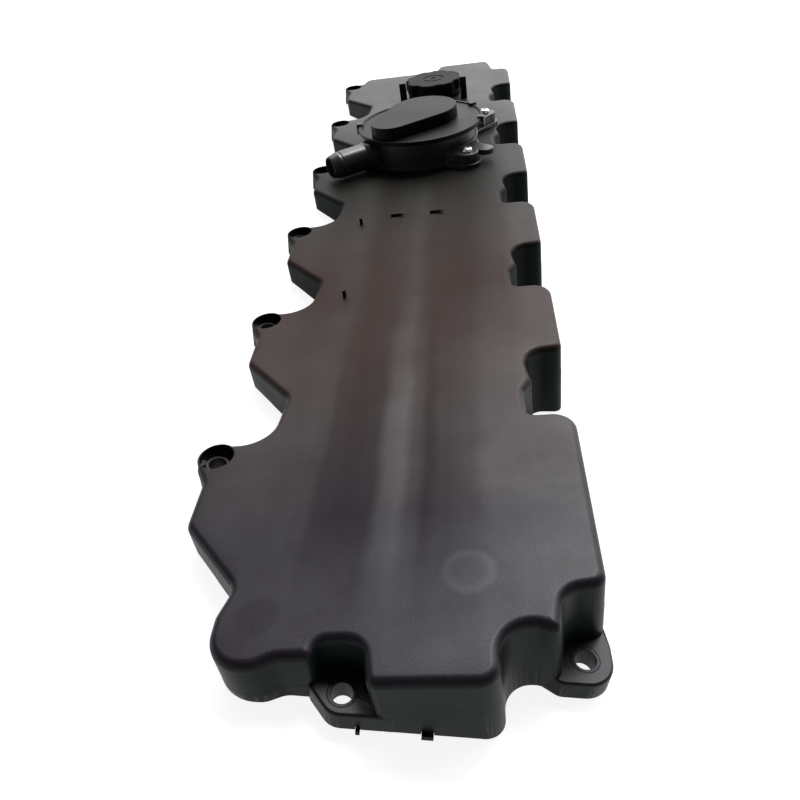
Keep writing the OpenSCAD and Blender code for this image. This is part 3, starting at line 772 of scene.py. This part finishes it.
# ---- the oil filler ----------------------------------------------------------
NECK_R = 24.5
KNOB_R = 30.5
KNOB_LOW = 7.0
KNOB_TOP = 17.5
GRIP_TURN = 10                       # degrees to the first grip hollow
GRIP_STEP = 45                       # degrees from one hollow to the next
GRIP_R = 8.0
GRIP_OUT = KNOB_R + 5.4              # distance of the hollows' centres


def knob_outline(inset, steps=192):
    """A circle with eight grip hollows. A soft minimum of both rounds the corners between them."""
    sharpness = 2.2
    start = 27                       # keeps the exponents small
    points = []
    for k in range(steps):
        angle = 2 * math.pi * k / steps
        off = (math.degrees(angle) - GRIP_TURN + GRIP_STEP / 2) % GRIP_STEP - GRIP_STEP / 2
        side = GRIP_OUT * math.sin(math.radians(off))
        reach = GRIP_OUT * math.cos(math.radians(off)) - math.sqrt(max(0.0, GRIP_R ** 2 - side ** 2))
        reach = reach if abs(side) < GRIP_R else GRIP_OUT
        both = sum(math.exp(-sharpness * (r - start)) for r in (KNOB_R, reach))
        soft = start - math.log(both) / sharpness
        points.append(np.array((math.cos(angle), math.sin(angle))) * (soft - inset))
    return points


def build_cap():
    """The filler cap's knob, plug and seal, and the collar that stays on the cover."""
    levels = edge_levels(KNOB_LOW, KNOB_TOP, 1.8, 0.6, 0.2)
    knob = stack("cap_knob_skin", knob_outline, levels, CAP)
    groove = [(9.3, 18), (9.3, 17.2), (9.8, 16.8), (11.2, 16.8), (11.7, 17.2), (11.7, 18)]
    dimple = [(0, 18), (0, 16.8), (2.4, 16.8), (3, 17.3), (3, 18)]
    combine(knob, [revolve("mark", groove, CAP), revolve("dimple", dimple, CAP, 32),
                   disc("hollow", 20, 6, 14, 0.5, CAP)], "DIFFERENCE")
    finish_piece(knob, "filler_cap", CAP_PLASTIC, ["cap_knob"])
    outer, inner = NECK_R - 0.8, NECK_R - 3.5
    profile = [(outer - 0.8, -12), (outer, -11.2), (outer, 7), (0, 7), (0, 5), (inner, 5), (inner, -11.6),
               (inner + 0.4, -12)]
    plug = revolve("cap_plug_skin", profile, CAP)
    reach = NECK_R - 0.4
    for side in (0, math.pi):
        place = CAP @ Matrix.Rotation(side, 4, "Z")
        corners = [(inner + 0.5, -6, 0.3), (reach - 0.8, -6, 0.8), (reach, 0, 8), (reach - 0.8, 6, 0.8),
                   (inner + 0.5, 6, 0.3)]
        combine(plug, [slab("lug", corners, -10.95, -8.05, 0.3, place, 0.3)], "UNION")
    finish_piece(plug, "filler_cap", CAP_PLASTIC, ["cap_plug"])
    seal = revolve("cap_seal_skin", ring_profile(NECK_R + 3, NECK_R - 0.75, 5.0, 7.0, 0.6), CAP)
    finish_piece(seal, "cap_ring", RUBBER, ["cap_seal"])
    collar = revolve("collar_skin", ring_profile(NECK_R + 4, NECK_R, 0.0, 5.0, 0.8), CAP)
    finish_piece(collar, "cover", CAP_PLASTIC, ["filler_collar"])


build_cover()
build_sleeves()
build_housing()
build_lid()
build_vent_cover()
build_clips()
build_screws()
build_cap()

# ---- stage, lights and camera -----------------------------------------------
floor = new_object("floor", [(-6, -6, 0), (6, -6, 0), (6, 8, 0), (-6, 8, 0)], [(0, 1, 2, 3)])
floor.location.z = cad_low.z - 0.0005
paper = Nodes("floor_paper")
pale_grey = paper.mix(paper.noise(3.0), (0.3, 0.3, 0.3, 1), (0.32, 0.32, 0.32, 1))
paper.put(paper.shader.inputs["Base Color"], pale_grey)
paper.shader.inputs["Roughness"].default_value = 0.9
paper.shader.inputs["Emission Color"].default_value = (1, 1, 1, 1)
paper.shader.inputs["Emission Strength"].default_value = 0.88
floor.data.materials.append(paper.material)


def studio(dim, bright):
    """A dim room with one large soft panel behind the part, brightest towards the right and 30 degrees up."""
    world = bpy.data.worlds.new("studio")
    bpy.context.scene.world = world
    world.use_nodes = True
    tree = world.node_tree

    def add(kind, operation=None, **inputs):
        node = tree.nodes.new(kind)
        if operation:
            node.operation = operation
        for key, value in inputs.items():
            socket = node.inputs[int(key[1:])] if key[0] == "n" else node.inputs[key.replace("_", " ")]
            if isinstance(value, bpy.types.NodeSocket):
                tree.links.new(value, socket)
            else:
                socket.default_value = value
        return node

    def smooth(value, low, high):
        node = add("ShaderNodeMapRange", Value=value, From_Min=low, From_Max=high, To_Min=0.0, To_Max=1.0)
        node.interpolation_type = "SMOOTHSTEP"
        return node.outputs["Result"]

    def times(a, b):
        return add("ShaderNodeMath", "MULTIPLY", n0=a, n1=b).outputs[0]

    way = add("ShaderNodeSeparateXYZ", Vector=add("ShaderNodeTexCoord").outputs["Generated"])
    x, y, z = (way.outputs[k] for k in range(3))
    panel = times(smooth(y, 0.05, 0.6), times(smooth(z, 0.98, 0.74), smooth(x, -0.9, -0.05)))
    rise = add("ShaderNodeMapRange", Value=z, From_Min=0.42, From_Max=0.8, To_Min=0.33, To_Max=1.3)
    panel = times(panel, rise.outputs["Result"])
    level = add("ShaderNodeMath", "MULTIPLY_ADD", n0=panel, n1=bright, n2=dim)
    tree.links.new(level.outputs[0], tree.nodes["Background"].inputs["Strength"])
    tree.nodes["Background"].inputs["Color"].default_value = (1, 1, 1, 1)


studio(0.1, 5.2)


def area_light(name, at, target, size, power):
    data = bpy.data.lights.new(name, "AREA")
    data.shape = "RECTANGLE"
    data.size, data.size_y = size
    data.energy = power
    light = bpy.data.objects.new(name, data)
    light.location = at
    light.rotation_mode = "QUATERNION"
    light.rotation_quaternion = (Vector(target) - Vector(at)).to_track_quat("-Z", "Y")
    bpy.context.scene.collection.objects.link(light)


area_light("top", (0.3, 0.9, 2.2), (0, 0, 0), (0.7, 0.7), 30)

camera = bpy.data.objects.new("camera", bpy.data.cameras.new("camera"))
bpy.context.scene.collection.objects.link(camera)
camera.location = (0.01222, -0.55844, 0.28245)
camera.rotation_euler = tuple(math.radians(a) for a in (51.35, -2.04, 3.457))
camera.data.lens = 33.3
camera.data.sensor_width = 36
camera.data.clip_start = 0.01
camera.data.clip_end = 50
bpy.context.scene.camera = camera
bpy.context.scene.view_settings.view_transform = "Standard"
